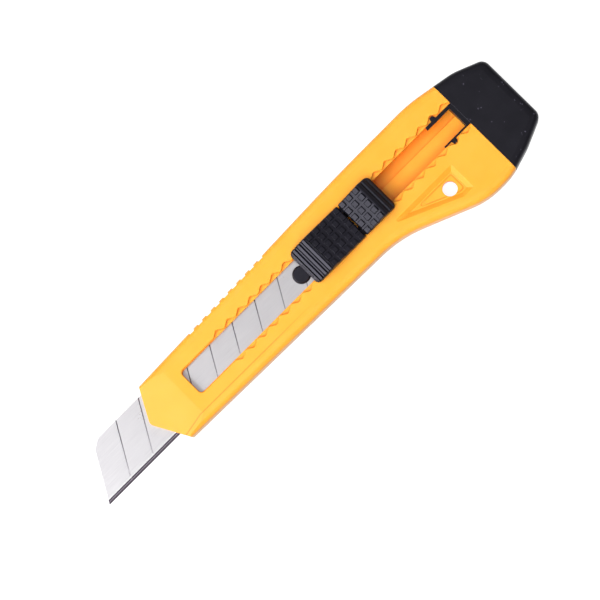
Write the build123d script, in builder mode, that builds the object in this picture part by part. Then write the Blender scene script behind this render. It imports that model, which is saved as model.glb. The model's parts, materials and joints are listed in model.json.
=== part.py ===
"""Snap-off utility knife: moulded housing, sliding blade carrier with a two-part thumb slide, end cap and scored blade.

Millimetres. The knife lies on its back: +X runs forward to the blade's tip, +Y to the cutting edge, +Z up to the slide.
The origin is the centre of the whole outline, on the surface that the back rests on.
"""

import math
import os

from build123d import *

os.makedirs("parts", exist_ok=True)

# Blade: one strip of steel, scored so that worn segments snap off
blade_length = 100.0  # along the cutting edge
blade_width = 18.0
blade_thickness = 0.5
score_angle = 60.0  # between a score line and the cutting edge
segment_pitch = 10.3
segment_count = 7  # snap-off segments in front of the base
score_depth = 0.26  # at the back, and less towards the cutting edge
score_fall = 0.16
score_width = 0.4
score_run_out = 0.05  # how far the cut for a score line runs past the face
ground_width = 1.3  # ground face along the cutting edge
edge_land = 0.04  # blunt width left at the very edge
tip_clip = 2.2  # back corner clipped off the first segment
blade_hole_radius = 3.05
hole_from_end = 8.4  # along the blade, from its slanted end
hole_offset = 0.4  # towards the cutting edge

# Overall: housing and cap
housing_length = 142.2
cap_length = 17.8
tail_width = 40.4
housing_thickness = 10.5

# Outline of housing and cap, seen from above
back_wall = 2.0  # beside the blade's groove, at the nose
edge_wall = 3.2
back_rise = 2.9  # widening of the back, from the nose corner to the tail
nose_angle = 61.5  # each slanted nose edge, from the blade's line
nose_round = 2.2
belly_rise = 1.9  # slow widening of the lower edge before the belly
belly_start = 42.1  # its end, ahead of the seam
belly_crown = 13.4  # where the belly line meets the widest part, ahead of the seam
belly_foot = 2.4  # and where the widest part ends, ahead of the seam
belly_hollow_radius = 44.0
belly_round_radius = 34.0
back_crown = 43.0  # where the back meets its widest part, ahead of the seam
back_fall = 10.0  # where the back starts to fall, ahead of the seam
back_blend_radius = 900.0
fall_radius = 55.0
cap_fall_radius = 22.0
cap_shoulder = 7.5  # bend of the cap's sides, behind the seam
cap_back_shoulder = 3.1  # and how far in from the widest parts
cap_edge_shoulder = 3.0
cap_back_end = 7.3  # corners of the cap's end, in from the widest parts
cap_edge_end = 7.5
cap_corner_radius = 3.2
seam_gap = 0.08

# Edges and the nose's slopes
facet_width = 2.9  # shallow facet along the edges of the top face
facet_drop = 0.4
top_round = 1.9
under_round = 1.5
nose_top_drop = 1.0
nose_top_run = 15.0
nose_under_rise = 2.6
nose_under_run = 20.0

# Layers of the housing, from the top face down
notch_layer = 1.1
ledge_thickness = 1.1
blade_play = 0.15  # above and below the blade in its groove
floor_thickness = 3.6
floor_step = 0.8  # the floor's back half lies deeper
floor_step_offset = 1.05  # its edge, from the blade's line

# Slot, channel and notches
slot_front = 18.8  # behind the nose
slot_width = 9.4  # between the ledges
ledge_lip = 0.3  # how far the ledges stand in from the tips of the notches
notch_depth = 1.25
notch_tip = 0.55  # flat between two notches
notch_root = 0.6
notch_round = 0.8
mouth_chamfer = 0.2
first_notch = 36.65  # behind the nose
slot_corner_radius = 1.5
groove_play = 0.3  # each side of the blade
rail_width = 2.8  # under each side of the blade
tongue_channel_width = 10.4
tongue_channel_depth = 1.7
tongue_channel_front = 16.0  # behind the nose
channel_front = 20.5  # behind the nose

# Hang hole in its three-sided recess, ahead of the seam and from the blade's line
hang_radius = 2.5
hang_ahead = 19.7
hang_below = 14.9
recess_depth = 1.3
recess_wall = 1.5  # run of its sloping walls
recess_top = 9.7
recess_rear = 14.0
recess_tip = 41.5
recess_deep = 18.4
recess_foot = 20.0
hang_web = 3.2  # wall that the hang hole goes through, between this recess and the one in the back
recess_corner_radius = 0.6
panel_line_inset = 0.45  # fine groove round the recess's floor, from the foot of its walls
panel_line_width = 0.35
panel_line_depth = 0.25
panel_line_margin = 0.2  # from the rim of the hang hole

# Hollow of the tail, behind the recess
tail_wall = 2.6
tail_hollow_depth = 11.5

# Grip grooves in the back
groove_count = 9
grip_pitch = 4.04
grip_groove = 2.1
grip_depth = 0.65
grip_round = 0.3
first_grip = 30.7  # behind the nose

# Slide: carrier inside, two thumb pads outside
slide_notch = 11  # notch pair that the slide rests in, counted from the front
blade_ahead = 98.2  # blade's tip, ahead of the slide's front
slide_length = 35.8
slide_width = 13.7
pad_split = 22.15  # from the slide's front to the gap between the pads
pad_gap = 0.55
pad_corner_radius = 1.6
pad_lift = 0.3  # under the pads, above the housing
front_shoulder = 7.5  # highest place of the front pad, from the slide's front
rear_shoulder = 4.7  # highest place of the lock pad, from the slide's rear
shoulder_height = 5.0
valley_height = 2.6
end_height = 1.9
pad_skin = 1.1
pad_side = 1.4
pad_rear = 1.1
hollow_inset = 0.2  # front of the lock pad's hollow, behind the window
pad_top_round = 0.8  # along the top's bends
underside_gap = 0.1  # more room under the lock pad's rear end

peg_radius = 2.9
peg_height = 0.85  # above the blade
peg_chamfer = 0.35
tongue_width = 9.6
tongue_thickness = 1.4
tongue_corner_radius = 2.9
tongue_nose = 4.6  # ahead of the peg
sled_clearance = 0.2
sled_end = 1.6  # behind the lock pad's pivot
sled_depth = 3.0  # below the blade's groove
skid_width = 1.6
slide_play = 0.1  # above and below the sled's edges in the groove
neck_clearance = 0.3
neck_inset = 0.1  # its front, behind the sled's
rear_neck_width = 6.6
rear_neck_length = 2.8
neck_to_pivot = 4.3  # rear end of the wide neck, ahead of the pivot
tenon_width = 6.4
tenon_length = 5.2
tenon_from_split = 2.1
tenon_rise = 1.2  # into the front pad
tenon_wall = 1.2  # between its socket and the front pad's hollow
seat_rise = 0.05  # the neck's flat, above the ledges

# Detent spring and lock
detent_reach = 22.7  # from the slide's front to the spring's noses
arm_thickness = 0.8
nose_radius = 1.3
nose_reach = 1.1  # past the notch tips
arm_gap = 0.3  # between the arms and the notch tips
spring_height = 0.95
post_length = 2.6
post_inset = 0.1  # behind the lock pad's front edge
post_clearance = 0.4  # between the post above its foot and the drawn-in arms
post_gap = 0.1  # between the post and the arms that it blocks
drop_hole_width = 4.8  # through the sled under the post
window_play = 0.7  # in front of the post and behind it
window_inset = 0.4  # of the window's sides, from the neck's
pivot_from_rear = 2.9
pivot_height = 1.5
pivot_radius = 0.8
pivot_play = 0.06
pivot_inset = 0.3  # of the pin's ends
press_drop = 1.15  # travel of the lock pad's front edge
leaf_thickness = 0.25
leaf_width = 4.0
leaf_foot_length = 1.9
leaf_fold_radius = 0.5
leaf_reach = 1.9  # free end, ahead of the wide neck's rear
leaf_gap = 0.05  # between its free end and the pad
leaf_overhang = 0.2  # of its fold, behind the wide neck

# Cap: plug, lug and latch arms
plug_depth = 1.5
plug_clearance = 0.2
plug_overlap = 0.5  # of the plug's layers
lug_depth = 6.0
lug_wall = 1.3
arm_length = 11.4
arm_clearance = 0.1
latch_top_drop = 0.5  # below the top face
back_arm_thickness = 1.1
edge_arm_thickness = 0.5
latch_height = 1.5
latch_bump_width = 1.3
latch_bump_reach = 0.85
latch_bump_gap = 0.1  # under the bumps, above the ledges
snap_slot_width = 20.0
snap_slot_height = 1.0
snap_slot_depth = 9.0
snap_slot_offset = 5.5  # from the blade's line, towards the cutting edge

# Stations worked out from the sizes above
notch_pitch = segment_pitch / 2
notch_mouth = notch_pitch - notch_tip
notch_mouth_width = slot_width + 2 * ledge_lip  # between the tips of the notches
groove_width = blade_width + 2 * groove_play
channel_width = groove_width - 2 * rail_width
nose_back = groove_width / 2 + back_wall  # nose corners, from the blade's line
nose_edge = groove_width / 2 + edge_wall
blade_line_inset = nose_back + back_rise  # blade's line, in from the back of the tail
blade_out = blade_ahead + detent_reach - first_notch - slide_notch * notch_pitch
total_length = blade_out + housing_length + cap_length
x_tip = total_length / 2
x_nose = x_tip - blade_out
x_seam = x_nose - housing_length
x_end = x_seam - cap_length
y_back = -tail_width / 2
y_belly = tail_width / 2
y_blade = y_back + blade_line_inset
z_top = housing_thickness
z_ledge = z_top - notch_layer
z_groove_top = z_ledge - ledge_thickness
z_blade_top = z_groove_top - blade_play
z_blade = z_blade_top - blade_thickness
z_groove = z_blade - blade_play
z_floor = floor_thickness
z_pad = z_top + pad_lift
slant = 1 / math.tan(math.radians(score_angle))
y_cut = y_blade + blade_width / 2
x_slide = x_tip - blade_ahead
x_slide_rear = x_slide - slide_length
x_split = x_slide - pad_split
x_first_notch = x_nose - first_notch
x_detent = x_first_notch - slide_notch * notch_pitch
x_pivot = x_slide_rear + pivot_from_rear
z_pivot = z_top + pivot_height
x_sled = x_tip - blade_length - blade_width * slant - 1.0  # just behind the blade's slanted end
x_sled_rear = x_pivot - sled_end
x_peg = x_tip - blade_length + hole_from_end - (blade_width / 2 - hole_offset) * slant
y_peg = y_blade + hole_offset
notch_count = int((housing_length - first_notch) / notch_pitch) + 1
x_slot = x_nose - slot_front
x_latch = x_first_notch - (notch_count - 2) * notch_pitch  # the notch pair before the last
x_neck_rear = x_pivot + neck_to_pivot
x_tenon_rear = x_split + tenon_from_split
x_tenon = x_tenon_rear + tenon_length
z_latch_top = z_top - latch_top_drop
z_snap = z_top / 2
press_angle = math.degrees(math.asin(press_drop / (x_split - pad_gap / 2 - x_pivot)))


def finish(part, label):
    """Name one piece and write it to its own file."""
    part.label = label
    export_step(part, f"parts/{label}.step")
    return part


# ---------------------------------------------------------------- outer form
# Corners of the outline in order, each with the radius that rounds it
nose_run_back = nose_back / math.tan(math.radians(nose_angle))
nose_run_edge = nose_edge / math.tan(math.radians(nose_angle))
outline = [
    (x_nose, y_blade, nose_round),
    (x_nose - nose_run_back, y_blade - nose_back, 0),
    (x_seam + back_crown, y_back, back_blend_radius),
    (x_seam + back_fall, y_back, fall_radius),
    (x_seam - cap_shoulder, y_back + cap_back_shoulder, cap_fall_radius),
    (x_end, y_back + cap_back_end, cap_corner_radius),
    (x_end, y_belly - cap_edge_end, cap_corner_radius),
    (x_seam - cap_shoulder, y_belly - cap_edge_shoulder, cap_fall_radius),
    (x_seam + belly_foot, y_belly, cap_fall_radius),
    (x_seam + belly_crown, y_belly, belly_round_radius),
    (x_seam + belly_start, y_blade + nose_edge + belly_rise, belly_hollow_radius),
    (x_nose - nose_run_edge, y_blade + nose_edge, 0),
]


def room_to_round(points, index):
    """Largest radius that the two sides of a corner allow, when each side is shared with its neighbour."""
    here = Vector(*points[index][:2])
    before = Vector(*points[index - 1][:2]) - here
    after = Vector(*points[(index + 1) % len(points)][:2]) - here
    half = math.radians(before.get_angle(after)) / 2
    return 0.49 * min(before.length, after.length) * math.tan(half)


with BuildPart() as form:
    with BuildSketch():
        with BuildLine():
            Polyline([(x, y) for x, y, radius in outline], close=True)
        make_face()
        for index, (x, y, radius) in enumerate(outline):
            if radius:
                corner = vertices().sort_by_distance((x, y, 0))[0]
                fillet(corner, min(radius, room_to_round(outline, index)))
    extrude(amount=housing_thickness)
    # Along both faces: a shallow facet above, then a round, from the slanted edges of the nose to the tail
    behind_nose = x_nose - max(nose_run_back, nose_run_edge) - 0.5
    for height, radius in ((0, under_round), (z_top, top_round)):
        rim = edges().filter_by(lambda e: abs(e.center().Z - height) < 1e-3 and e.center().X < behind_nose)
        if height:
            chamfer(rim, facet_width, facet_drop, reference=faces().sort_by(Axis.Z)[-1])
            rim = edges().filter_by(lambda e: abs(e.center().Z - height + facet_drop) < 1e-3
                                    and e.bounding_box().size.Z < 1e-3 and e.center().X < behind_nose)
        fillet(rim, radius)
    # The nose gets thinner towards its point, above and below
    with BuildSketch(Plane.XZ.offset(-y_belly)):
        with BuildLine():
            Polyline(
                (x_nose - nose_top_run, z_top),
                (x_nose + 1, z_top - nose_top_drop),
                (x_nose + 1, z_top + 1),
                (x_nose - nose_top_run, z_top + 1),
                close=True,
            )
            Polyline(
                (x_nose - nose_under_run, 0),
                (x_nose + 1, nose_under_rise),
                (x_nose + 1, -1),
                (x_nose - nose_under_run, -1),
                close=True,
            )
        make_face()
    extrude(amount=tail_width, mode=Mode.SUBTRACT)


def block(x0, x1, y0, y1, z0, z1, mode=Mode.ADD):
    """Box between two opposite corners, added to or cut from the piece being made."""
    with Locations(((x0 + x1) / 2, (y0 + y1) / 2, (z0 + z1) / 2)):
        Box(x1 - x0, y1 - y0, z1 - z0, mode=mode)


def beside_line(x0, x1, half_width, z0, z1, mode=Mode.ADD):
    """Box of this half width on both sides of the blade's centre line."""
    block(x0, x1, y_blade - half_width, y_blade + half_width, z0, z1, mode)


# ------------------------------------------------------------------- housing
beyond = 2.0  # how far a cut runs past the face that it opens
with BuildPart() as housing:
    add(form.part)
    block(x_end - beyond, x_seam, y_back - beyond, y_belly + beyond, -beyond, z_top + beyond, Mode.SUBTRACT)
    # Groove for the blade from the tail to the nose, and the channel below it
    beside_line(x_seam - beyond, x_nose + beyond, groove_width / 2, z_groove, z_groove_top, Mode.SUBTRACT)
    x_channel = x_nose - channel_front
    beside_line(x_seam - beyond, x_channel, channel_width / 2, z_floor, z_groove, Mode.SUBTRACT)
    y_step = y_blade - floor_step_offset
    block(x_seam - beyond, x_channel, y_blade - channel_width / 2, y_step, z_floor - floor_step, z_floor,
          Mode.SUBTRACT)
    x_tongue_end = x_nose - tongue_channel_front
    beside_line(x_channel - 1, x_tongue_end, tongue_channel_width / 2, z_groove - tongue_channel_depth, z_groove,
                Mode.SUBTRACT)
    # Slot in the top face: straight between the ledges, notched above them
    with BuildSketch(Plane.XY.offset(z_groove_top)):
        with Locations(((x_slot + x_seam - beyond) / 2, y_blade)):
            Rectangle(x_slot - x_seam + beyond, slot_width)
        fillet(vertices().group_by(Axis.X)[-1], slot_corner_radius)
    extrude(amount=z_top - z_groove_top + beyond, mode=Mode.SUBTRACT)
    with BuildSketch(Plane.XY.offset(z_ledge)):
        with Locations(((x_slot + x_seam - beyond) / 2, y_blade)):
            Rectangle(x_slot - x_seam + beyond, notch_mouth_width)
        fillet(vertices().group_by(Axis.X)[-1], slot_corner_radius)
        with BuildSketch(mode=Mode.PRIVATE) as notch:
            with BuildLine():
                reach = notch_mouth_width / 2 + notch_depth
                Polyline(
                    (-notch_mouth / 2, 0), (-notch_mouth / 2, reach - notch_depth), (-notch_root / 2, reach),
                    (notch_root / 2, reach), (notch_mouth / 2, reach - notch_depth), (notch_mouth / 2, 0),
                    close=True,
                )
            make_face()
            fillet(vertices().group_by(Axis.Y)[-1], notch_round)
        for index in range(notch_count):
            with Locations((x_first_notch - index * notch_pitch, y_blade)):
                add(notch.sketch)
                add(notch.sketch, rotation=180)
    extrude(amount=z_top - z_ledge + beyond, mode=Mode.SUBTRACT)
    # Three-sided recess with sloping walls, and the hang hole in its floor
    recess = [
        (x_seam + recess_tip, y_blade + recess_top),
        (x_seam + recess_rear, y_blade + recess_top),
        (x_seam + recess_rear, y_blade + recess_foot),
        (x_seam + recess_deep, y_blade + recess_foot),
    ]
    slope = math.degrees(math.atan(recess_wall / recess_depth))
    with BuildSketch(Plane.XY.offset(z_top)):
        with BuildLine():
            Polyline(recess, close=True)
        make_face()
        fillet(vertices(), recess_corner_radius)
    extrude(amount=-recess_depth, taper=slope, mode=Mode.SUBTRACT)
    with BuildSketch():
        with BuildLine():
            Polyline(recess, close=True)
        make_face()
        offset(amount=-recess_wall, kind=Kind.INTERSECTION)
        fillet(vertices(), recess_corner_radius)
    extrude(amount=z_top - recess_depth - hang_web, mode=Mode.SUBTRACT)
    x_hang = x_seam + hang_ahead
    y_hang = y_blade + hang_below
    with BuildSketch(Plane.XY.offset(z_top - recess_depth)):
        for inset, mode in ((0, Mode.ADD), (panel_line_width, Mode.SUBTRACT)):
            with BuildSketch(mode=Mode.PRIVATE) as panel:
                with BuildLine():
                    Polyline(recess, close=True)
                make_face()
                offset(amount=-recess_wall - panel_line_inset - inset, kind=Kind.INTERSECTION)
                fillet(vertices(), recess_corner_radius)
            add(panel.sketch, mode=mode)
        with Locations((x_hang, y_hang)):
            Circle(hang_radius + panel_line_margin, mode=Mode.SUBTRACT)
    extrude(amount=-panel_line_depth, mode=Mode.SUBTRACT)
    with Locations((x_hang, y_hang, z_top)):
        Hole(hang_radius)
    # Edge of the slot's mouth broken all round its notches
    inside = notch_mouth_width / 2 + notch_depth + mouth_chamfer / 2
    mouth = edges().filter_by(lambda e: abs(e.center().Z - z_top) < 1e-3 and abs(e.center().Y - y_blade) < inside
                              and x_seam + mouth_chamfer / 2 < e.center().X <= x_slot)
    chamfer(mouth, mouth_chamfer)
    # Hollow of the tail, open to the cap
    y_hollow = y_blade + groove_width / 2 + tail_wall
    block(x_seam - beyond, x_seam + tail_hollow_depth, y_hollow, y_belly - tail_wall - top_round / 2, tail_wall,
          z_top - tail_wall, Mode.SUBTRACT)
    # Grip grooves across the back
    back_slope = (y_back - (y_blade - nose_back)) / (x_nose - nose_run_back - x_seam - back_crown)
    for index in range(groove_count):
        x_groove = x_nose - first_grip - index * grip_pitch
        y_groove = y_blade - nose_back + back_slope * (x_nose - nose_run_back - x_groove)
        with BuildSketch(Plane.XY.offset(-beyond)):
            with Locations((x_groove, y_groove + grip_depth - 1)):
                Rectangle(grip_groove, 2)
                fillet(vertices().group_by(Axis.Y)[-1], grip_round)
        extrude(amount=z_top + 2 * beyond, mode=Mode.SUBTRACT)
finish(housing.part, "housing")

# ----------------------------------------------------------------------- cap
x_face = x_seam - seam_gap
with BuildPart() as end_cap:
    add(form.part)
    block(x_face, x_nose + beyond, y_back - beyond, y_belly + beyond, -beyond, z_top + beyond, Mode.SUBTRACT)
    # Plug in the housing's open end: as wide as the slot above, and as the channel and groove below
    x_plug = x_seam + plug_depth
    beside_line(x_face, x_plug, slot_width / 2 - plug_clearance, z_groove_top - plug_clearance - plug_overlap,
                z_latch_top)
    beside_line(x_face, x_plug, groove_width / 2 - plug_clearance, z_groove + plug_clearance,
                z_groove_top - plug_clearance)
    beside_line(x_face, x_plug, channel_width / 2 - plug_clearance, z_floor + plug_clearance,
                z_groove + plug_clearance)
    # Hollow lug in the tail's hollow
    lug = (y_hollow + plug_clearance, y_belly - tail_wall - top_round / 2 - plug_clearance)
    lug_z = (tail_wall + plug_clearance, z_top - tail_wall - plug_clearance)
    block(x_face, x_seam + lug_depth, *lug, *lug_z)
    block(x_seam - lug_depth, x_seam + lug_depth + beyond, lug[0] + lug_wall, lug[1] - lug_wall,
          lug_z[0] + lug_wall, lug_z[1] - lug_wall, Mode.SUBTRACT)
    # Slot in the end for snapping a worn segment off
    y_snap = y_blade + snap_slot_offset
    with BuildSketch(Plane.YZ.offset(x_end - beyond)):
        with Locations((y_snap, z_snap)):
            SlotOverall(snap_slot_width, snap_slot_height)
    extrude(amount=snap_slot_depth + beyond, mode=Mode.SUBTRACT)
finish(end_cap.part, "end_cap")

latch_sides = {"latch_arm_back": (-1, back_arm_thickness), "latch_arm_edge": (1, edge_arm_thickness)}
for label, (side, thickness) in latch_sides.items():
    outer = slot_width / 2 - arm_clearance
    y_outer = y_blade + side * outer
    y_inner = y_blade + side * (outer - thickness)
    y_bump = y_blade + side * (notch_mouth_width / 2 + latch_bump_reach)
    with BuildPart() as latch_arm:
        block(x_seam + plug_depth, x_seam + arm_length, min(y_outer, y_inner), max(y_outer, y_inner),
              z_latch_top - latch_height, z_latch_top)
        with BuildSketch(Plane.XY.offset(z_ledge + latch_bump_gap)):
            with BuildLine():
                Polyline(
                    (x_latch - latch_bump_width * 0.8, y_outer), (x_latch - latch_bump_width / 2, y_bump),
                    (x_latch + latch_bump_width / 2, y_bump), (x_latch + latch_bump_width * 0.8, y_outer), close=True,
                )
            make_face()
            fillet(vertices().sort_by_distance((x_latch, y_bump))[:2], latch_bump_width / 4)
        extrude(amount=z_latch_top - z_ledge - latch_bump_gap)
    finish(latch_arm.part, label)

# ------------------------------------------------------------------- carrier
x_front_neck = x_sled - neck_inset
x_post = x_split - pad_gap / 2 - post_inset  # front of the lock's post
x_window = x_post + window_play
x_window_rear = x_post - post_length - window_play
z_sled_top = z_groove_top - slide_play
z_seat = z_ledge + seat_rise
with BuildPart() as blade_carrier:
    # Sled running in the blade's groove, with two skids on the channel's floor
    beside_line(x_sled_rear, x_sled, groove_width / 2 - sled_clearance, z_groove + slide_play, z_sled_top)
    beside_line(x_sled_rear, x_sled, channel_width / 2 - sled_clearance, z_groove - sled_depth, z_sled_top)
    for side in (-1, 1):
        y_skid = y_blade + side * (channel_width / 2 - sled_clearance - skid_width / 2)
        block(x_sled_rear, x_sled, y_skid - skid_width / 2, y_skid + skid_width / 2, z_floor + sled_clearance,
              z_groove - sled_depth)
    # Tongue under the blade, rounded in front, and the peg that stands through the blade's hole
    with BuildSketch(Plane.XY.offset(z_blade - tongue_thickness)):
        with Locations(((x_sled + x_peg + tongue_nose) / 2, y_blade)):
            Rectangle(x_peg + tongue_nose - x_sled, tongue_width)
        fillet(vertices().group_by(Axis.X)[-1], tongue_corner_radius)
    extrude(amount=tongue_thickness)
    with BuildSketch(Plane.XY.offset(z_blade)):
        with Locations((x_peg, y_peg)):
            Circle(peg_radius)
    extrude(amount=z_blade_top - z_blade + peg_height)
    peg_face = faces().filter_by(Plane.XY).sort_by_distance((x_peg, y_peg, z_blade_top + peg_height))[0]
    chamfer(peg_face.edges(), peg_chamfer)
    # Neck through the slot, in front of and behind the window for the lock's post
    neck_half = slot_width / 2 - neck_clearance
    beside_line(x_window, x_front_neck, neck_half, z_sled_top, z_seat)
    beside_line(x_neck_rear, x_window_rear, neck_half, z_sled_top, z_seat)
    beside_line(x_window_rear, x_window, neck_half - window_inset, z_groove, z_sled_top, Mode.SUBTRACT)
    beside_line(x_window_rear, x_window, drop_hole_width / 2, z_floor, z_groove, Mode.SUBTRACT)
    # Tenon that the front pad is pressed on to
    beside_line(x_tenon_rear, x_tenon, tenon_width / 2, z_seat, z_pad + tenon_rise)
    # Rear neck, between the cap's arms when the blade is drawn in, with the pivot's bore
    with BuildSketch(Plane.XZ.offset(-y_blade - rear_neck_width / 2)):
        with Locations((x_pivot, z_pivot)):
            Circle(rear_neck_length / 2)
        with Locations((x_pivot, (z_pivot + z_sled_top) / 2)):
            Rectangle(rear_neck_length, z_pivot - z_sled_top)
    extrude(amount=rear_neck_width)
    with BuildSketch(Plane.XZ.offset(-y_blade - rear_neck_width / 2)):
        with Locations((x_pivot, z_pivot)):
            Circle(pivot_radius)
    extrude(amount=rear_neck_width, mode=Mode.SUBTRACT)
finish(blade_carrier.part, "blade_carrier")

# ------------------------------------------------------------- detent spring
# Flat U round the tenon, with two noses that rest in one pair of notches
arm_outer = notch_mouth_width / 2 - arm_gap
with BuildPart() as detent_spring:
    with BuildSketch(Plane.XY.offset(z_seat)):
        x_bow = x_tenon + arm_thickness  # front of the U's closed end
        with Locations(((x_bow + x_detent) / 2, y_blade)):
            Rectangle(x_bow - x_detent, 2 * arm_outer)
        fillet(vertices().group_by(Axis.X)[-1], arm_thickness * 2)
        for side in (-1, 1):
            with Locations((x_detent, y_blade + side * (notch_mouth_width / 2 + nose_reach - nose_radius))):
                Circle(nose_radius)
        with Locations(((x_tenon + x_detent - nose_radius - 1) / 2, y_blade)):
            Rectangle(x_tenon - x_detent + nose_radius + 1, 2 * (arm_outer - arm_thickness), mode=Mode.SUBTRACT)
    extrude(amount=spring_height)
finish(detent_spring.part, "detent_spring")


# ---------------------------------------------------------------------- pads
x_front_rear = x_split + pad_gap / 2  # rear end of the front pad
x_lock = x_split - pad_gap / 2  # front end of the lock pad
with BuildPart() as front_pad:
    with BuildSketch(Plane.XZ.offset(-y_blade - slide_width / 2)):
        with BuildLine():
            Polyline(
                (x_slide, z_pad), (x_slide, z_pad + end_height), (x_slide - front_shoulder, z_pad + shoulder_height),
                (x_front_rear, z_pad + valley_height), (x_front_rear, z_pad), close=True,
            )
        make_face()
    extrude(amount=slide_width)
    fillet(edges().filter_by(Axis.Z).group_by(Axis.X)[-1], pad_corner_radius)
    fillet(edges().filter_by(Axis.Y).group_by(Axis.Z)[-1], pad_top_round)
    # Hollow in front of the tenon, and the socket that takes it
    beside_line(x_tenon + tenon_wall, x_slide - front_shoulder, slide_width / 2 - pad_side, z_pad, z_pad + end_height,
                Mode.SUBTRACT)
    beside_line(x_tenon_rear, x_tenon, tenon_width / 2, z_pad, z_pad + tenon_rise, Mode.SUBTRACT)
finish(front_pad.part, "front_pad")

x_shoulder = x_slide_rear + rear_shoulder
x_hollow = x_window_rear - hollow_inset  # front of the lock pad's hollow
ceiling_high = z_pad + shoulder_height - pad_skin
ceiling_fall = (shoulder_height - valley_height) / (x_lock - x_shoulder)
ceiling_front = ceiling_high - ceiling_fall * (x_hollow - x_shoulder)
with BuildPart() as lock_pad:
    lift = press_drop  # the front part of the underside stands this much higher, for the press
    with BuildSketch(Plane.XZ.offset(-y_blade - slide_width / 2)):
        with BuildLine():
            Polyline(
                (x_lock, z_pad + lift), (x_lock, z_pad + valley_height),
                (x_shoulder, z_pad + shoulder_height), (x_slide_rear, z_pad + end_height),
                (x_slide_rear, z_pad + underside_gap), (x_pivot, z_pad + underside_gap), close=True,
            )
        make_face()
    extrude(amount=slide_width)
    fillet(edges().filter_by(Axis.Z).group_by(Axis.X)[0], pad_corner_radius)
    fillet(edges().filter_by(Axis.Y).group_by(Axis.Z)[-1], pad_top_round)
    # Hollow over the rear neck and the leaf spring
    with BuildSketch(Plane.XZ.offset(-y_blade - slide_width / 2 + pad_side)):
        with BuildLine():
            Polyline(
                (x_hollow, z_pad - 1), (x_hollow, ceiling_front), (x_shoulder, ceiling_high),
                (x_shoulder - 0.6, ceiling_high), (x_slide_rear + pad_rear, z_pad + end_height),
                (x_slide_rear + pad_rear, z_pad - 1), close=True,
            )
        make_face()
    extrude(amount=slide_width - 2 * pad_side, mode=Mode.SUBTRACT)
    # Post between the spring's arms: wide where it blocks them, slim above
    block_half = arm_outer - arm_thickness - post_gap
    beside_line(x_post - post_length, x_post, block_half, z_seat, z_seat + spring_height)
    slim_half = block_half - nose_reach - post_clearance
    beside_line(x_post - post_length, x_post, slim_half, z_seat, z_pad + valley_height - 0.5)
    with BuildSketch(Plane.XZ.offset(-y_blade - slide_width / 2)):
        with Locations((x_pivot, z_pivot)):
            Circle(pivot_radius + pivot_play)
    extrude(amount=slide_width, mode=Mode.SUBTRACT)
finish(lock_pad.part, "lock_pad")

with BuildPart() as pivot_pin:
    with BuildSketch(Plane.XZ.offset(-y_blade - slide_width / 2 + pivot_inset)):
        with Locations((x_pivot, z_pivot)):
            Circle(pivot_radius)
    extrude(amount=slide_width - 2 * pivot_inset)
finish(pivot_pin.part, "pivot_pin")

with BuildPart() as lock_spring:
    # Leaf folded to a V: its foot lies on the neck, its free end bears under the pad
    with BuildLine(Plane.XZ.offset(-y_blade)) as leaf_line:
        x_leaf = x_neck_rear + leaf_reach
        z_leaf = ceiling_high - ceiling_fall * (x_leaf - x_shoulder) - leaf_gap - leaf_thickness / 2
        leaf_foot = (x_neck_rear + leaf_foot_length, z_seat + leaf_thickness / 2)
        leaf_fold = (x_neck_rear - leaf_overhang, z_seat + leaf_thickness / 2)
        FilletPolyline(leaf_foot, leaf_fold, (x_leaf, z_leaf), radius=leaf_fold_radius)
    with BuildSketch(Plane.YZ.offset(leaf_foot[0])):
        with Locations((y_blade, leaf_foot[1])):
            Rectangle(leaf_width, leaf_thickness)
    sweep()
finish(lock_spring.part, "lock_spring")

# --------------------------------------------------------------------- blade
# Section across the blade, with the ground edge, and a vee for each score line
def blade_piece(label, x_front, x_rear, scored_front, scored_rear, clipped=False, holed=False):
    """Stretch of the blade between two slanted lines, given where they meet the cutting edge."""
    y_blunt = y_cut - blade_width
    with BuildPart() as piece:
        with BuildSketch(Plane.XY.offset(z_blade)):
            with BuildLine():
                Polyline(
                    (x_front, y_cut), (x_front - blade_width * slant, y_blunt),
                    (x_rear - blade_width * slant, y_blunt), (x_rear, y_cut), close=True,
                )
            make_face()
            if clipped:
                chamfer(vertices().group_by(Axis.Y)[0].sort_by(Axis.X)[-1], tip_clip)
        extrude(amount=blade_thickness)
        if holed:
            with Locations((x_peg, y_peg, z_blade_top)):
                Hole(blade_hole_radius)
        # Both faces ground down to the cutting edge
        z_mid = z_blade + blade_thickness / 2
        with BuildSketch(Plane.YZ.offset(x_rear - blade_width)):
            with BuildLine():
                Polyline(
                    (y_blunt - 1, z_blade), (y_cut - ground_width, z_blade), (y_cut, z_mid - edge_land / 2),
                    (y_cut, z_mid + edge_land / 2), (y_cut - ground_width, z_blade_top), (y_blunt - 1, z_blade_top),
                    close=True,
                )
            make_face()
        extrude(amount=blade_length + 3 * blade_width, mode=Mode.INTERSECT)
        for scored, x_line in ((scored_front, x_front), (scored_rear, x_rear)):
            if scored:
                along = Vector(-blade_width * slant, -blade_width, -score_fall).normalized()
                upright = along.cross(Vector(1, -slant, 0)).normalized()
                across = Plane(origin=(x_line, y_cut, z_blade_top + score_fall), x_dir=upright, z_dir=along)
                with BuildSketch(across.offset(-1)):
                    with BuildLine():
                        Polyline((-score_depth, 0), (score_run_out, score_width / 2),
                                 (score_run_out, -score_width / 2), close=True)
                    make_face()
                extrude(amount=blade_width / math.sin(math.radians(score_angle)) + 2, mode=Mode.SUBTRACT)
    finish(piece.part, label)


for number in range(1, segment_count + 1):
    x_front = x_tip - (number - 1) * segment_pitch
    blade_piece(f"blade_segment_{number}", x_front, x_front - segment_pitch, number > 1, True, clipped=number == 1)
blade_piece("blade_base", x_tip - segment_count * segment_pitch, x_tip - blade_length, True, False, holed=True)
print("press angle", round(press_angle, 2), "notches", notch_count, "detent", round(x_detent, 2))
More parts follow.
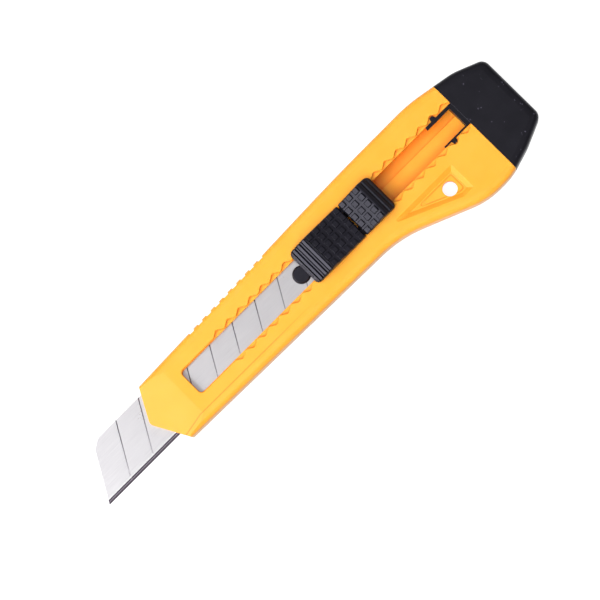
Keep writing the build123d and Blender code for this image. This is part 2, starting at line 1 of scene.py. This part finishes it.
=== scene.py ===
import json
import math
import bpy
import numpy as np
from mathutils import Matrix, Vector


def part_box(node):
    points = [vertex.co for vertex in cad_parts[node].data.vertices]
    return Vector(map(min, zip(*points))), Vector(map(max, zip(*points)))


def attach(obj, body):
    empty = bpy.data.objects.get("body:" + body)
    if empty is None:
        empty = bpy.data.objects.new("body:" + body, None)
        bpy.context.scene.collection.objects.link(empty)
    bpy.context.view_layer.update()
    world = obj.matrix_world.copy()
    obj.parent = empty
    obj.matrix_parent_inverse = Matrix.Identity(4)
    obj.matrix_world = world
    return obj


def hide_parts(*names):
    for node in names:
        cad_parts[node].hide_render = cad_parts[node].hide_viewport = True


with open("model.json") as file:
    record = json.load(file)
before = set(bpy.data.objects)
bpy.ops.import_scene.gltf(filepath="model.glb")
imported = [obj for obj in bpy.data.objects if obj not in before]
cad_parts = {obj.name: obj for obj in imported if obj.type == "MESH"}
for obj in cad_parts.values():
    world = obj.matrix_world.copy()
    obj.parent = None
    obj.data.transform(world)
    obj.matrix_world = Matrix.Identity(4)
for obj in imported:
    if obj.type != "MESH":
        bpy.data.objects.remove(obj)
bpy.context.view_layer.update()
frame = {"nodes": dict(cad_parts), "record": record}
mm = 0.001


def toLinear(hexColour):
    # sRGB hex to linear RGBA: the standard curve, channel by channel
    channels = [int(hexColour[i:i + 2], 16) / 255 for i in (1, 3, 5)]
    return [c / 12.92 if c <= 0.04045 else ((c + 0.055) / 1.055) ** 2.4 for c in channels] + [1.0]


def startMaterial(name):
    material = bpy.data.materials.new(name)
    material.use_nodes = True
    material.node_tree.nodes.clear()
    return material


def addNode(owner, kind, inputs=None, settings=None, stops=()):
    # One node. An input is a value, another node's output, or a node, whose first live output is taken.
    # A ramp's stops are places from 0 to 1, each with a hex colour or a grey.
    node = owner.node_tree.nodes.new(kind)
    for key, value in (settings or {}).items():
        setattr(node, key, value)
    for key, value in (inputs or {}).items():
        if isinstance(key, int):
            socket = node.inputs[key]
        else:
            socket = next(s for s in node.inputs if s.name == key and s.enabled)
        if isinstance(value, bpy.types.Node):
            value = next(output for output in value.outputs if output.enabled)
        if isinstance(value, bpy.types.NodeSocket):
            owner.node_tree.links.new(value, socket)
        else:
            socket.default_value = value
    if stops:
        elements = node.color_ramp.elements
        while len(elements) < len(stops):
            elements.new(0.5)
        for element, (place, colour) in zip(elements, stops):
            element.position = place
            element.color = toLinear(colour) if isinstance(colour, str) else [colour] * 3 + [1.0]
    return node


def finishMaterial(m, colour, roughness, height, look, values):
    # bump from a height map over softened edges, then the shader
    edges = addNode(m, "ShaderNodeBevel", {"Radius": look["edgeRoundMm"] * mm}, {"samples": 6})
    bump = addNode(m, "ShaderNodeBump", {
        "Height": height, "Strength": 1.0, "Distance": look["grainDepthMm"] * mm, "Normal": edges})
    shader = addNode(m, "ShaderNodeBsdfPrincipled", {
        "Base Color": colour, "Roughness": roughness, "Normal": bump, **values})
    addNode(m, "ShaderNodeOutputMaterial", {"Surface": shader})
    return m


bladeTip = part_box("blade_segment_1")[1][0]
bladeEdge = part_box("blade_base")[1][1]

housing = {
    "colours": ("#FDA833", "#FEAC3A"), "roughness": (0.32, 0.41), "ior": 1.53, "gloss": 0.3,
    "rippleMm": 9.0, "grainMm": 0.3, "grainDepthMm": 0.0012, "edgeRoundMm": 0.16,
    "glowWeight": 0.2, "glowMm": 2.0, "glowReach": (1.0, 0.4, 0.08),  # light that passes through thin walls
    # painted shade in narrow hollows: its tone, how far it looks, and the openness range it spans
    "hollowShadeTone": "#F88620", "hollowShadeReachMm": 8.0, "hollowShadeOpenness": (0.3, 0.88),
    # painted crease shade, a thin dark line on the top near the cutting edge: its bend on the nose, from the
    # middle and from the cutting edge; its rise behind and before the bend; where it fades out; and how high
    # the top side starts
    "creaseShadeBendMm": (52.3, 0.35), "creaseShadeRise": (-0.0078, 0.18), "creaseShadeHalfMm": 0.3,
    "creaseShadeFadeMm": (0.0, 20.0), "creaseShadeTone": "#C08427", "topSideMm": 8.0,
}


def mouldedAbs(name, look):
    # ABS, injection moulded in a polished tool: one solid colour, soft even gloss, a very faint flow ripple
    m = startMaterial(name)
    place = addNode(m, "ShaderNodeTexCoord").outputs["Object"]
    ripple = addNode(m, "ShaderNodeTexNoise", {
        "Vector": place, "Scale": 1 / (look["rippleMm"] * mm), "Detail": 2.0})
    grain = addNode(m, "ShaderNodeTexNoise", {
        "Vector": place, "Scale": 1 / (look["grainMm"] * mm), "Detail": 3.0})
    colour = addNode(m, "ShaderNodeValToRGB", {"Fac": ripple}, stops=list(zip((0.3, 0.7), look["colours"])))
    # painted shade: narrow hollows are painted a deeper orange, for the light that bounces between their
    # walls
    reach = look["hollowShadeReachMm"] * mm
    openness = addNode(m, "ShaderNodeAmbientOcclusion", {"Distance": reach},
                       {"samples": 8, "only_local": True})
    hollow = addNode(m, "ShaderNodeValToRGB", {"Fac": openness.outputs["AO"]},
                     stops=list(zip(look["hollowShadeOpenness"], (1.0, 0.0))))
    # the painted crease shade line: its Y is the higher of two slopes through the bend; it is dark within its
    # half width
    axes = addNode(m, "ShaderNodeSeparateXYZ", {"Vector": place})
    bendX, bendY = (v * mm for v in look["creaseShadeBendMm"])
    past = addNode(m, "ShaderNodeMath", {0: axes.outputs["X"], 1: bendX}, {"operation": "SUBTRACT"})
    slopes = [addNode(m, "ShaderNodeMath", {0: past, 1: rise}, {"operation": "MULTIPLY"})
              for rise in look["creaseShadeRise"]]
    higher = addNode(m, "ShaderNodeMath", {0: slopes[0], 1: slopes[1]}, {"operation": "MAXIMUM"})
    lineY = addNode(m, "ShaderNodeMath", {0: higher, 1: bladeEdge + bendY}, {"operation": "ADD"})
    beside = addNode(m, "ShaderNodeMath", {0: axes.outputs["Y"], 1: lineY}, {"operation": "SUBTRACT"})
    offLine = addNode(m, "ShaderNodeMath", {0: beside}, {"operation": "ABSOLUTE"})
    onLine = addNode(m, "ShaderNodeMapRange", {
        "Value": offLine, "From Min": 0.0, "From Max": look["creaseShadeHalfMm"] * mm,
        "To Min": 1.0, "To Max": 0.0})
    fade = addNode(m, "ShaderNodeMapRange", {
        "Value": axes.outputs["X"], "From Min": look["creaseShadeFadeMm"][0] * mm,
        "From Max": look["creaseShadeFadeMm"][1] * mm})
    onTop = addNode(m, "ShaderNodeMath", {0: axes.outputs["Z"], 1: look["topSideMm"] * mm},
                    {"operation": "GREATER_THAN"})
    faded = addNode(m, "ShaderNodeMath", {0: onLine, 1: fade}, {"operation": "MULTIPLY"})
    paintedCreaseShade = addNode(m, "ShaderNodeMath", {0: faded, 1: onTop}, {"operation": "MULTIPLY"})
    # mix in the painted hollow shade, then the painted crease shade line
    for factor, tone in ((hollow, look["hollowShadeTone"]), (paintedCreaseShade, look["creaseShadeTone"])):
        colour = addNode(m, "ShaderNodeMix", {"Factor": factor, "A": colour, "B": toLinear(tone)},
                         {"data_type": "RGBA"})
    rough = addNode(m, "ShaderNodeMapRange", {
        "Value": grain, "To Min": look["roughness"][0], "To Max": look["roughness"][1]})
    return finishMaterial(m, colour, rough, grain, look, {
        "IOR": look["ior"], "Specular IOR Level": look["gloss"], "Subsurface Weight": look["glowWeight"],
        "Subsurface Radius": look["glowReach"], "Subsurface Scale": look["glowMm"] * mm})


cap = {
    "colours": ("#0B0A0F", "#111015"), "roughness": (0.33, 0.49),
    "ior": 1.53, "gloss": 0.32, "tint": "#EEEDFF",
    "cloudMm": 6.0, "grainMm": 0.22, "grainDepthMm": 0.012, "edgeRoundMm": 0.12,
    "markTone": "#4B4855", "markMm": 0.9, "markPatchMm": 5.0, "markFrom": (0.41, 0.47),
}
thumbSlide = {**cap, "colours": ("#111016", "#17161D"), "roughness": (0.35, 0.51), "grainMm": 0.2,
              "markTone": "#1D1C23"}


def mouldedSatin(name, look):
    # near-black polypropylene or polyamide, moulded in a spark-eroded tool: a fine satin grain that scatters
    # the highlights
    m = startMaterial(name)
    place = addNode(m, "ShaderNodeTexCoord").outputs["Object"]
    grain = addNode(m, "ShaderNodeTexNoise", {
        "Vector": place, "Scale": 1 / (look["grainMm"] * mm), "Detail": 4.0})
    cloud = addNode(m, "ShaderNodeTexNoise", {
        "Vector": place, "Scale": 1 / (look["cloudMm"] * mm), "Detail": 2.0})
    colour = addNode(m, "ShaderNodeValToRGB", {"Fac": cloud}, stops=list(zip((0.3, 0.7), look["colours"])))
    # handling marks: a few pale specks, in patches
    specks = addNode(m, "ShaderNodeTexNoise", {
        "Vector": place, "Scale": 1 / (look["markMm"] * mm), "Detail": 1.0})
    patches = addNode(m, "ShaderNodeTexNoise", {
        "Vector": place, "Scale": 1 / (look["markPatchMm"] * mm), "Detail": 2.0})
    both = addNode(m, "ShaderNodeMath", {0: specks, 1: patches}, {"operation": "MULTIPLY"})
    marks = addNode(m, "ShaderNodeValToRGB", {"Fac": both}, stops=list(zip(look["markFrom"], (0.0, 1.0))))
    colour = addNode(m, "ShaderNodeMix", {"Factor": marks, "A": colour, "B": toLinear(look["markTone"])},
                     {"data_type": "RGBA"})
    rough = addNode(m, "ShaderNodeMapRange", {
        "Value": grain, "To Min": look["roughness"][0], "To Max": look["roughness"][1]})
    return finishMaterial(m, colour, rough, grain, look, {
        "IOR": look["ior"], "Specular IOR Level": look["gloss"], "Specular Tint": toLinear(look["tint"])})


blade = {
    "segmentMm": 10.3, "scoreAngle": 60.0, "scoreHalfMm": 0.2, "bevelMm": 1.3,  # as the strip is cut
    "colours": ("#EAE7EB", "#F6F4F7"), "roughness": (0.28, 0.4), "grainAlongMm": 7.0, "grainAcrossMm": 0.16,
    "grainDepthMm": 0.0015, "edgeRoundMm": 0.05,
    # the white line just above the bevel is a painted highlight
    "bevelTone": "#6A606C", "bevelMiddle": "#C2B8C6", "bevelHighlightTone": "#FFFFFF",
    "bevelStops": (0.0, 0.4, 0.55, 0.7, 0.98, 1.0), "bevelHighlightEnd": (1.25, 1.35),  # in bevel widths from the edge
    # the score lines are painted shade, fading towards the cutting edge
    "scoreShadeTone": "#77717B", "scoreFadeMm": (2.0, 15.0), "scoreStrength": (0.5, 1.0), "frontClearMm": 1.0,
    "rustTone": "#8A6A52", "rustMm": 0.55, "rustPatchMm": 7.0, "rustFrom": (0.46, 0.52), "rustStrength": 0.8,
}


def groundSteel(name, look, forBlade):
    # tool steel, faces ground along the strip: long fine lines stretch the highlights; a few oxide specks
    m = startMaterial(name)
    place = addNode(m, "ShaderNodeTexCoord").outputs["Object"]
    scale = (1 / (look["grainAlongMm"] * mm), 1 / (look["grainAcrossMm"] * mm), 1 / mm)
    stretched = addNode(m, "ShaderNodeMapping", {"Vector": place, "Scale": scale})
    lines = addNode(m, "ShaderNodeTexNoise", {"Vector": stretched, "Scale": 1.0, "Detail": 4.0})
    colour = addNode(m, "ShaderNodeValToRGB", {"Fac": lines}, stops=list(zip((0.25, 0.75), look["colours"])))
    rough = addNode(m, "ShaderNodeMapRange", {
        "Value": lines, "To Min": look["roughness"][0], "To Max": look["roughness"][1]})
    if forBlade:
        # the ground edge: a band as wide as the bevel, darker, cross ground, with a painted highlight line
        # just above it
        axes = addNode(m, "ShaderNodeSeparateXYZ", {"Vector": place})
        inward = addNode(m, "ShaderNodeMath", {0: bladeEdge, 1: axes.outputs["Y"]}, {"operation": "SUBTRACT"})
        depth = addNode(m, "ShaderNodeMath", {0: inward, 1: look["bevelMm"] * mm}, {"operation": "DIVIDE"})
        dark = look["bevelTone"]
        tones = (dark, dark, look["bevelMiddle"], dark, dark, look["bevelHighlightTone"])
        bevelTones = addNode(m, "ShaderNodeValToRGB", {"Fac": depth},
                             stops=list(zip(look["bevelStops"], tones)))
        onBevel = addNode(m, "ShaderNodeMapRange", {
            "Value": depth, "From Min": look["bevelHighlightEnd"][0], "From Max": look["bevelHighlightEnd"][1],
            "To Min": 1.0, "To Max": 0.0})
        # painted shade in the score lines: distance along the strip to the nearest slanted line, darkest at
        # the back
        angle = math.radians(look["scoreAngle"])
        slantwise = addNode(m, "ShaderNodeMath", {0: inward, 1: 1 / math.tan(angle)},
                            {"operation": "MULTIPLY"})
        reached = addNode(m, "ShaderNodeMath", {0: axes.outputs["X"], 1: slantwise}, {"operation": "ADD"})
        along = addNode(m, "ShaderNodeMath", {0: bladeTip, 1: reached}, {"operation": "SUBTRACT"})
        nearest = addNode(m, "ShaderNodeMath", {0: along, 1: look["segmentMm"] / 2 * mm},
                          {"operation": "PINGPONG"})
        width = look["scoreHalfMm"] * mm / math.sin(angle)
        onScore = addNode(m, "ShaderNodeMapRange", {
            "Value": nearest, "From Min": 0.6 * width, "From Max": 1.1 * width, "To Min": 1.0, "To Max": 0.0})
        fading = addNode(m, "ShaderNodeMapRange", {
            "Value": inward, "From Min": look["scoreFadeMm"][0] * mm, "From Max": look["scoreFadeMm"][1] * mm,
            "To Min": look["scoreStrength"][0], "To Max": look["scoreStrength"][1]})
        # none on the snapped front edge
        behindFront = addNode(m, "ShaderNodeMath", {0: along, 1: look["frontClearMm"] * mm},
                              {"operation": "GREATER_THAN"})
        paintedScoreShade = addNode(m, "ShaderNodeMath", {0: onScore, 1: fading}, {"operation": "MULTIPLY"})
        paintedScoreShade = addNode(m, "ShaderNodeMath", {0: paintedScoreShade, 1: behindFront}, {"operation": "MULTIPLY"})
        specks = addNode(m, "ShaderNodeTexNoise", {
            "Vector": place, "Scale": 1 / (look["rustMm"] * mm), "Detail": 2.0})
        patches = addNode(m, "ShaderNodeTexNoise", {
            "Vector": place, "Scale": 1 / (look["rustPatchMm"] * mm), "Detail": 1.0})
        both = addNode(m, "ShaderNodeMath", {0: specks, 1: patches}, {"operation": "MULTIPLY"})
        rust = addNode(m, "ShaderNodeValToRGB", {"Fac": both},
                       stops=list(zip(look["rustFrom"], (0.0, look["rustStrength"]))))
        # mix in the rust specks, the painted score shade, and the bevel with its painted highlight
        for factor, tone in ((rust, toLinear(look["rustTone"])), (paintedScoreShade, toLinear(look["scoreShadeTone"])),
                             (onBevel, bevelTones)):
            colour = addNode(m, "ShaderNodeMix", {"Factor": factor, "A": colour, "B": tone},
                             {"data_type": "RGBA"})
    return finishMaterial(m, colour, rough, lines, look, {"Metallic": 1.0})


springs = {"colours": ("#2B2A33", "#3D3B46"), "roughness": (0.3, 0.45), "cloudMm": 1.2, "grainDepthMm": 0.002,
           "edgeRoundMm": 0.08}


def bluedSteel(name, look):
    # spring steel, heat-blued: dark, with a dull sheen
    m = startMaterial(name)
    place = addNode(m, "ShaderNodeTexCoord").outputs["Object"]
    cloud = addNode(m, "ShaderNodeTexNoise", {
        "Vector": place, "Scale": 1 / (look["cloudMm"] * mm), "Detail": 3.0})
    colour = addNode(m, "ShaderNodeValToRGB", {"Fac": cloud}, stops=list(zip((0.3, 0.7), look["colours"])))
    rough = addNode(m, "ShaderNodeMapRange", {
        "Value": cloud, "To Min": look["roughness"][0], "To Max": look["roughness"][1]})
    return finishMaterial(m, colour, rough, cloud, look, {"Metallic": 1.0})


slidePlastic = mouldedSatin("Polyamide moulded black slide", thumbSlide)
pinSteel = groundSteel("Steel wire drawn", blade, False)
slotMaterials = {
    "housing_plastic": mouldedAbs("ABS moulded yellow", housing),
    "cap_plastic": mouldedSatin("Polypropylene moulded black cap", cap),
    "slide_plastic": slidePlastic,
    "blade_steel": groundSteel("Tool steel ground", blade, True),
    "spring_steel": bluedSteel("Spring steel blued", springs),
}
for entry in frame["record"]["subparts"]:
    node = frame["nodes"][entry["node"]]
    node.data.materials.clear()
    isPin = entry["node"] == "pivot_pin"
    node.data.materials.append(pinSteel if isPin else slotMaterials[entry["material_slot"]])
print("materials made")

slide = {
    "columnPitchMm": 3.02, "squareAlongMm": 1.78, "rowPitchMm": 2.87, "squareAcrossMm": 2.0, "rowCount": 5,
    "squareReliefMm": 0.6, "ribReliefMm": 0.85, "bevelMm": 0.18,  # heights, and width of their sloping sides
    "cornerMm": 1.6, "splitCornerMm": 0.4, "edgeRoundMm": 0.5,
    # how the surface is divided: widest and closest spacing, half width of a sharp step, lines along an end
    "gridMm": 0.7, "closestMm": 0.012, "stepMm": 0.011, "endLinesMm": (0.0, 0.02, 0.07, 0.15, 0.27, 0.5),
    "sharpAngle": 48.0,
}
frontPad = {
    "ahead": True,  # its outer end is the front one
    "profileMm": ((-4.4, 12.7), (-11.5, 15.63), (-12.3, 15.74), (-26.275, 13.4)),  # side view of the top
    "columnsMm": (-13.0, 5),  # middle of the first column of squares, and how many
    # ribs over the front end: middle and width of each
    "ribZoneMm": (-12.01, -4.0),
    "ribsMm": ((-5.35, 0.5), (-6.34, 1.0), (-7.5, 0.56), (-8.43, 1.02), (-9.63, 0.56), (-10.6, 1.04),
               (-11.86, 0.3)),
    "undersideMm": ((-4.4, 10.8), (-26.275, 10.8)),
    "hollowsMm": ((-17.5, -11.9, 5.45, ((-17.5, 12.7), (-11.9, 12.7))),),
}
lockPad = {
    "ahead": False,
    "profileMm": ((-26.825, 13.4), (-34.9, 15.62), (-35.5, 15.74), (-35.95, 15.6), (-36.9, 14.95),
                  (-37.1, 14.42), (-37.3, 14.4), (-37.75, 14.5), (-38.75, 13.75), (-38.95, 13.2),
                  (-39.12, 13.18), (-39.5, 13.26), (-40.2, 12.7)),
    "columnsMm": (-27.93, 3),
    "ribZoneMm": (-41.0, -35.3),  # the stepped rear end stands at full height
    "ribsMm": ((-37.8, 8.0),),
    "undersideMm": ((-26.825, 11.95), (-37.3, 10.9), (-40.2, 10.9)),
    # hollow over the neck and the leaf spring, and the post that blocks the detent's arms
    "hollowsMm": ((-39.1, -30.425, 5.45, ((-39.1, 12.7), (-36.1, 14.55), (-35.5, 14.55), (-30.425, 13.15))),
                  (-29.525, -26.925, 3.8, ((-29.525, 9.45), (-26.925, 9.45)))),
}


def smoothStep(x, width):
    # 0 to 1 over this width, centred on 0, with level ends: t * t * (3 - 2t)
    t = np.clip(x / width + 0.5, 0, 1)
    return t * t * (3 - 2 * t)


def bands(x, middles, widths, bevel):
    # 1 on each band and 0 between, with sloping sides: the highest of the bands' own steps
    steps = [smoothStep(x - c + w / 2, bevel) * smoothStep(c + w / 2 - x, bevel)
             for c, w in zip(middles, widths)]
    return np.max(steps, axis=0)


def gridLines(low, high, middles, widths, sharp):
    # even lines, close groups of them over each sloping side and at both ends, and pairs at each sharp step
    group = np.linspace(-0.5, 0.5, 5) * slide["bevelMm"] * mm
    endGroup = np.array(slide["endLinesMm"]) * mm
    count = int((high - low) / (slide["gridMm"] * mm)) + 2
    lines = [np.linspace(low, high, count), low + endGroup, high - endGroup]
    lines += [c + side * w / 2 + group for c, w in zip(middles, widths) for side in (-1, 1)]
    lines += [step + np.array([-1, 1]) * slide["stepMm"] * mm for step in sharp]
    merged = np.unique(np.clip(np.concatenate(lines), low, high))
    keep = np.append(np.diff(merged) > slide["closestMm"] * mm, True)
    keep[0] = True
    return merged[keep]


def roundCorner(x, y, cornerX, cornerY, signX, signY, radius):
    # the square patch at a corner is drawn in to a quarter disc: dx * sqrt(1 - dy * dy / 2), and dy likewise
    centreX, centreY = cornerX + signX * radius, cornerY + signY * radius
    dx, dy = (centreX - x) * signX / radius, (centreY - y) * signY / radius
    inside = (dx > 0) & (dy > 0)
    newX = centreX - signX * radius * dx * np.sqrt(np.clip(1 - dy * dy / 2, 0, 1))
    newY = centreY - signY * radius * dy * np.sqrt(np.clip(1 - dx * dx / 2, 0, 1))
    return np.where(inside, newX, x), np.where(inside, newY, y)


def closedField(name, upper, lower):
    # two sheets over one grid of points, joined by walls round their rims
    rows, columns = upper.shape[:2]
    index = np.arange(rows * columns).reshape(rows, columns)
    quads = np.stack([index[:-1, :-1], index[1:, :-1], index[1:, 1:], index[:-1, 1:]], -1).reshape(-1, 4)
    rim = np.concatenate([index[:-1, 0], index[-1, :-1], index[:0:-1, -1], index[0, :0:-1]])
    onward = np.roll(rim, -1)
    count = rows * columns
    walls = np.stack([rim, rim + count, onward + count, onward], -1)
    faces = np.concatenate([quads, quads[:, ::-1] + count, walls])
    points = np.concatenate([upper.reshape(-1, 3), lower.reshape(-1, 3)])
    mesh = bpy.data.meshes.new(name)
    mesh.from_pydata(points.tolist(), [], faces.tolist())
    mesh.update()
    mesh.shade_smooth()
    mesh.set_sharp_from_angle(angle=math.radians(slide["sharpAngle"]))
    piece = bpy.data.objects.new(name, mesh)
    bpy.context.collection.objects.link(piece)
    return piece


def makePad(name, node, body, pad):
    # height = the side's profile, less the relief between squares and ribs, less a round along the rim
    low, high = (np.array(corner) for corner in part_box(node))
    middleY = (low[1] + high[1]) / 2
    firstColumn, columnCount = pad["columnsMm"]
    columns = firstColumn * mm - slide["columnPitchMm"] * mm * np.arange(columnCount)
    rows = middleY + slide["rowPitchMm"] * mm * (np.arange(slide["rowCount"]) - slide["rowCount"] // 2)
    along = np.full(len(columns), slide["squareAlongMm"] * mm)
    across = np.full(len(rows), slide["squareAcrossMm"] * mm)
    ribs, ribWidths = np.array(pad["ribsMm"]).T * mm
    bends = [x * mm for x, z in pad["profileMm"][1:-1]]
    sharpX = bends + [pad["ribZoneMm"][0] * mm] + [x * mm for hollow in pad["hollowsMm"] for x in hollow[:2]]
    sharpY = [middleY + side * hollow[2] * mm for hollow in pad["hollowsMm"] for side in (-1, 1)]
    xs = gridLines(low[0], high[0], np.append(columns, ribs), np.append(along, ribWidths), sharpX)
    ys = gridLines(low[1], high[1], rows, across, sharpY)
    x, y = np.meshgrid(xs, ys, indexing="ij")
    bevel, edge = slide["bevelMm"] * mm, slide["edgeRoundMm"] * mm
    ribEnds = [x * mm for x in pad["ribZoneMm"]]
    onRibs = smoothStep(x - ribEnds[0], bevel) * smoothStep(ribEnds[1] - x, bevel)
    squares = bands(x, columns, along, bevel) * bands(y, rows, across, bevel)
    relief = (1 - onRibs) * slide["squareReliefMm"] * (1 - squares)
    relief = relief + onRibs * slide["ribReliefMm"] * (1 - bands(x, ribs, ribWidths, bevel))
    top = np.interp(x, *np.array(sorted(pad["profileMm"])).T * mm) - relief * mm
    toRim = np.minimum(np.minimum(x - low[0], high[0] - x), np.minimum(y - low[1], high[1] - y))
    inset = np.clip(edge - toRim, 0, edge)
    top = top - edge + np.sqrt(edge ** 2 - inset ** 2)
    under = np.interp(x, *np.array(sorted(pad["undersideMm"])).T * mm)
    for start, end, half, ceiling in pad["hollowsMm"]:
        inside = (x > start * mm) & (x < end * mm) & (np.abs(y - middleY) < half * mm)
        under = np.where(inside, np.interp(x, *np.array(sorted(ceiling)).T * mm), under)
    ends = ((high[0], -1), (low[0], 1)) if pad["ahead"] else ((low[0], 1), (high[0], -1))
    for (cornerX, signX), radius in zip(ends, (slide["cornerMm"], slide["splitCornerMm"])):
        for cornerY, signY in ((low[1], 1), (high[1], -1)):
            x, y = roundCorner(x, y, cornerX, cornerY, signX, signY, radius * mm)
    piece = closedField(name, np.stack([x, y, top], -1), np.stack([x, y, under], -1))
    piece.data.materials.append(slidePlastic)
    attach(piece, body)
    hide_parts(node)


makePad("thumb_pad_front", "front_pad", "carrier", frontPad)
makePad("thumb_pad_lock", "lock_pad", "lock", lockPad)
print("thumb pads made")

stage = {"floorSize": 3.0, "floorTone": "#8A8A8A", "floorGlow": 0.93, "floorRoughness": 0.9,
         "floorGapMm": 0.1,  # just clear of the back face
         "fieldWidth": 0.1942, "distance": 1.1, "tilt": 5.0, "lookAt": (0.00339, -0.00016, 0.008),
         "sensorMm": 36.0, "clip": (0.01, 10.0),
         # the sky's glow, from dark to bright, by how far a direction leans to the nose or aside
         "skyGlow": (0.22, 1.08), "noseShare": 0.9, "asideShare": 0.7, "asideShift": 0.1}
lights = {
    "key": {"place": (0.45, 0.02, 0.95), "size": (1.1, 1.1), "power": 18.0, "forGloss": False},
    # a reflector beyond the nose
    "sheen": {"place": (0.72, -0.14, 0.7), "size": (0.7, 0.7), "power": 13.0, "forGloss": True},
}


def makeFloor():
    # opal acrylic lit from behind, as on a product table: it stays white in soft shadow and in the hang hole
    half = stage["floorSize"] / 2
    mesh = bpy.data.meshes.new("floor")
    height = -stage["floorGapMm"] * mm
    corners = [(-half, -half, height), (half, -half, height), (half, half, height), (-half, half, height)]
    mesh.from_pydata(corners, [], [(0, 1, 2, 3)])
    floor = bpy.data.objects.new("floor", mesh)
    bpy.context.collection.objects.link(floor)
    m = startMaterial("Acrylic opal backlit")
    shader = addNode(m, "ShaderNodeBsdfPrincipled", {
        "Base Color": toLinear(stage["floorTone"]), "Roughness": stage["floorRoughness"],
        "Emission Color": toLinear("#FFFFFF"), "Emission Strength": stage["floorGlow"]})
    addNode(m, "ShaderNodeOutputMaterial", {"Surface": shader})
    mesh.materials.append(m)
    floor.visible_diffuse = False


def areaLight(name, light):
    data = bpy.data.lights.new(name, "AREA")
    data.shape = "RECTANGLE"
    data.size, data.size_y = light["size"]
    data.energy = light["power"]
    lamp = bpy.data.objects.new(name, data)
    lamp.location = light["place"]
    lamp.rotation_mode = "QUATERNION"
    lamp.rotation_quaternion = (-Vector(light["place"])).to_track_quat("-Z", "Y")
    lamp.visible_diffuse = not light["forGloss"]
    lamp.visible_glossy = light["forGloss"]
    bpy.context.collection.objects.link(lamp)


def makeCamera():
    # seen from above, the knife lies across the view: +X to the lower left, +Y to the lower right
    data = bpy.data.cameras.new("camera")
    data.sensor_width = stage["sensorMm"]
    data.lens = data.sensor_width * stage["distance"] / stage["fieldWidth"]
    tilt = math.radians(stage["tilt"])
    back = Vector((0, math.sin(tilt), math.cos(tilt)))
    right = Vector((-1, -1, 0)).normalized().cross(back).normalized()
    up = back.cross(right)
    place = Vector(stage["lookAt"]) + back * stage["distance"]
    camera = bpy.data.objects.new("camera", data)
    camera.matrix_world = Matrix.Translation(place) @ Matrix((right, up, back)).transposed().to_4x4()
    data.clip_start, data.clip_end = stage["clip"]
    bpy.context.collection.objects.link(camera)
    bpy.context.scene.camera = camera


makeFloor()
for name, light in lights.items():
    areaLight(name, light)
world = bpy.data.worlds.new("studio")
world.use_nodes = True
world.node_tree.nodes.clear()
direction = addNode(world, "ShaderNodeTexCoord").outputs["Generated"]
toward = addNode(world, "ShaderNodeSeparateXYZ", {"Vector": direction})
leaning = addNode(world, "ShaderNodeMath", {0: toward.outputs["Y"], 1: stage["asideShift"]},
                  {"operation": "ADD"})
aside = addNode(world, "ShaderNodeMath", {0: leaning}, {"operation": "ABSOLUTE"})
shares = [addNode(world, "ShaderNodeMath", {0: value, 1: share}, {"operation": "MULTIPLY"})
          for value, share in ((toward.outputs["X"], stage["noseShare"]), (aside, stage["asideShare"]))]
nosewards = addNode(world, "ShaderNodeMath", {0: shares[0], 1: shares[1]}, {"operation": "SUBTRACT"})
glow = addNode(world, "ShaderNodeMapRange", {"Value": nosewards, "From Min": -1.0, "From Max": 1.0,
                                             "To Min": stage["skyGlow"][0], "To Max": stage["skyGlow"][1]})
sky = addNode(world, "ShaderNodeBackground", {"Strength": glow})
addNode(world, "ShaderNodeOutputWorld", {"Surface": sky})
bpy.context.scene.world = world
bpy.context.scene.view_settings.view_transform = "Standard"
makeCamera()
print("floor, light and camera ready")
